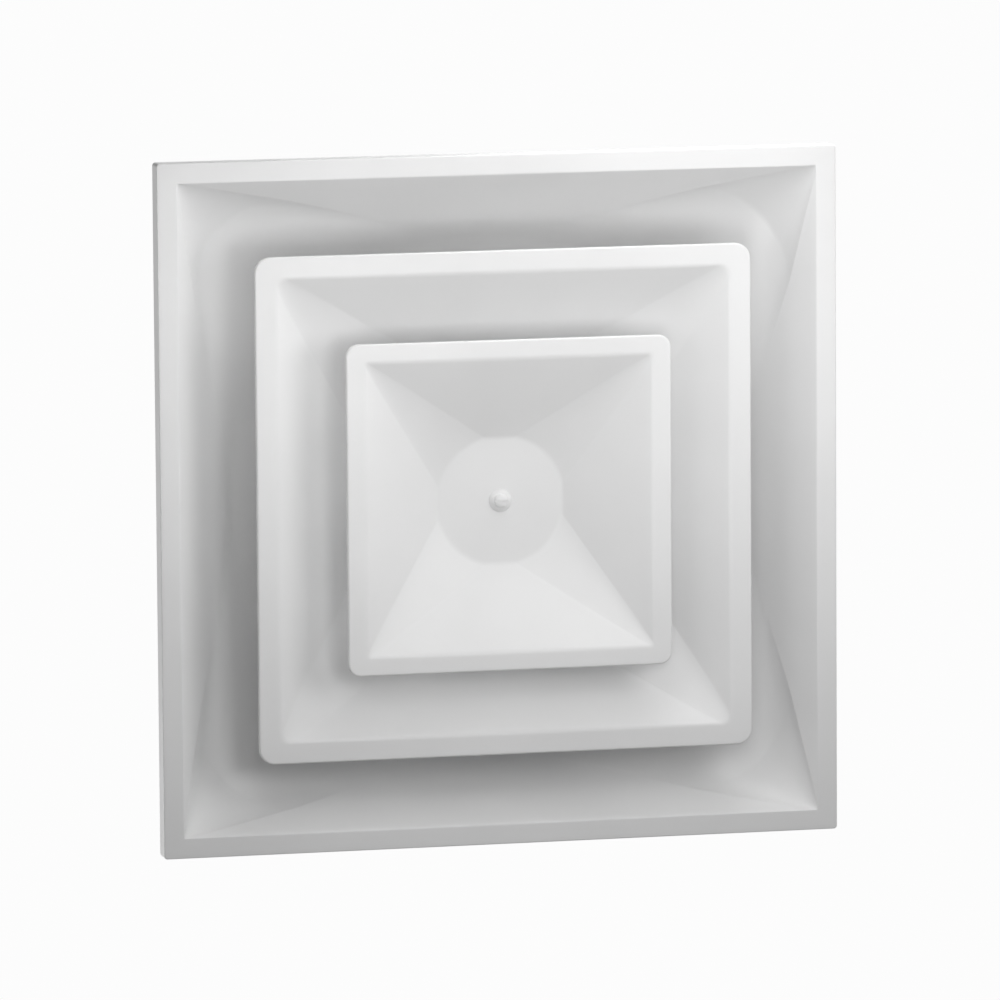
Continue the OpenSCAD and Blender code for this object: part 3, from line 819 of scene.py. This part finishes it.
def core_pieces():
    """What the screw lets down: the two cones and the pieces that hold them together."""
    upper_strap = quarter_turned(cross_strap(UPPER_STRAP_LOW.z), 1)
    for name, part, slot, node in [
        ("middle_cone_sheet", pressed(middle_path()), "white_enamel", "middle_cone"),
        ("inner_cone_sheet", pressed(inner_path()), "white_enamel", "inner_cone"),
        ("lower_strap_bent", cross_strap(LOWER_STRAP_LOW.z), "galvanised_sheet", "lower_cross_strap"),
        ("upper_strap_bent", upper_strap, "galvanised_sheet", "upper_cross_strap"),
        ("throat_blind_rivets", throat_rivets(), "rivet_aluminium", "strap_rivets"),
        ("guide_pin_right_turned", moved(guide_pin(), PIN_X), "zinc_plate", "guide_pin_right"),
        ("guide_pin_left_turned", moved(guide_pin(), -PIN_X), "zinc_plate", "guide_pin_left"),
        ("spacer_sleeve_turned", sleeve(), "zinc_plate", "spacer_sleeve"),
        ("cup_washer_dished", washer(), "white_enamel", "cup_washer"),
    ]:
        put_piece(name, part, "core", slot, node)


frame_pieces()
core_pieces()
put_piece("centre_screw_slotted", screw(), "screw", "white_enamel", "centre_screw")


# ---------------------------------------------------------------- studio
CAMERA_LENS = 329.93
CAMERA_PLACE = (-1.83725, -1.017, -7.66546)
CAMERA_TURN = (172.7503, 13.5212, 0.4116)
FLOOR_Z = -9.5
FLOOR_HALF = 8.0

# The studio's lights: name, place, side of the square and power. All of them face the origin.
LIGHTS = [
    ("low_front", (0.2, -0.66, -0.14), 0.42, 1.9),
    ("high_front", (0.0, -0.6344, -0.2958), 0.42, 0.5),
    ("near_left", (-0.26, -0.2, -0.36), 0.3, 0.45),
    ("near_right", (0.36, -0.15, -0.42), 0.3, 0.8),
    ("below", (0.0, -0.05, -0.8), 0.285, 1.3),
    ("far_right", (3.759, -0.4, -1.6), 1.2, 10.0),
    ("side_fill", (-3.0, 0.3, -0.5), 1.2, 5.0),
    ("top_soft", (1.6, -1.4, 2.2), 1.6, 65.0),
    ("top_fill", (-1.9, 1.5, 2.0), 1.6, 55.0),
]


def area_light(name, place, size, power):
    """A square light that faces the origin and isn't seen itself."""
    data = bpy.data.lights.new(name, "AREA")
    data.shape = "SQUARE"
    data.size = size
    data.energy = power
    light = bpy.data.objects.new(name, data)
    light.location = place
    light.rotation_euler = (-Vector(place)).to_track_quat("-Z", "Y").to_euler()
    light.visible_camera = False
    bpy.context.scene.collection.objects.link(light)


def studio_world(seen, lit):
    """A plain pale surround: one brightness where it is seen, and a softer one for its light."""
    world = bpy.data.worlds.new("pale_surround")
    world.use_nodes = True
    bpy.context.scene.world = world
    tree = world.node_tree
    background = tree.nodes["Background"]
    path = tree.nodes.new("ShaderNodeLightPath")
    brightness = tree.nodes.new("ShaderNodeMapRange")
    brightness.inputs["To Min"].default_value = lit
    brightness.inputs["To Max"].default_value = seen
    tree.links.new(path.outputs["Is Camera Ray"], brightness.inputs["Value"])
    tree.links.new(brightness.outputs["Result"], background.inputs["Strength"])
    background.inputs["Color"].default_value = (1, 1, 1, 1)


def pale_floor(z, half):
    """A square floor at height z, far below the face."""
    material, tree, shader, place = finish_nodes("pale_floor", 0.0, 0.8)
    tone = noise(tree, place, scale=0.6, detail=2.0)
    tree.links.new(blended(tree, tone, (0.84, 0.84, 0.84), (0.88, 0.88, 0.88)),
                   shader.inputs["Base Color"])
    mesh = bpy.data.meshes.new("floor")
    corners = [(-half, -half, z), (half, -half, z), (half, half, z), (-half, half, z)]
    mesh.from_pydata(corners, [], [(0, 1, 2, 3)])
    mesh.materials.append(material)
    floor = bpy.data.objects.new("floor", mesh)
    bpy.context.scene.collection.objects.link(floor)


def long_lens_camera():
    """A camera far below the face, to its front and left."""
    data = bpy.data.cameras.new("camera")
    data.sensor_width = 36
    data.lens = CAMERA_LENS
    data.clip_start = 0.1
    data.clip_end = 200
    eye = bpy.data.objects.new("camera", data)
    eye.location = CAMERA_PLACE
    eye.rotation_euler = Euler([radians(turn) for turn in CAMERA_TURN])
    bpy.context.scene.collection.objects.link(eye)
    bpy.context.scene.camera = eye


long_lens_camera()
pale_floor(FLOOR_Z, FLOOR_HALF)
studio_world(seen=0.975, lit=0.22)
for name, place, size, power in LIGHTS:
    area_light(name, place, size, power)
bpy.context.scene.view_settings.view_transform = "Standard"
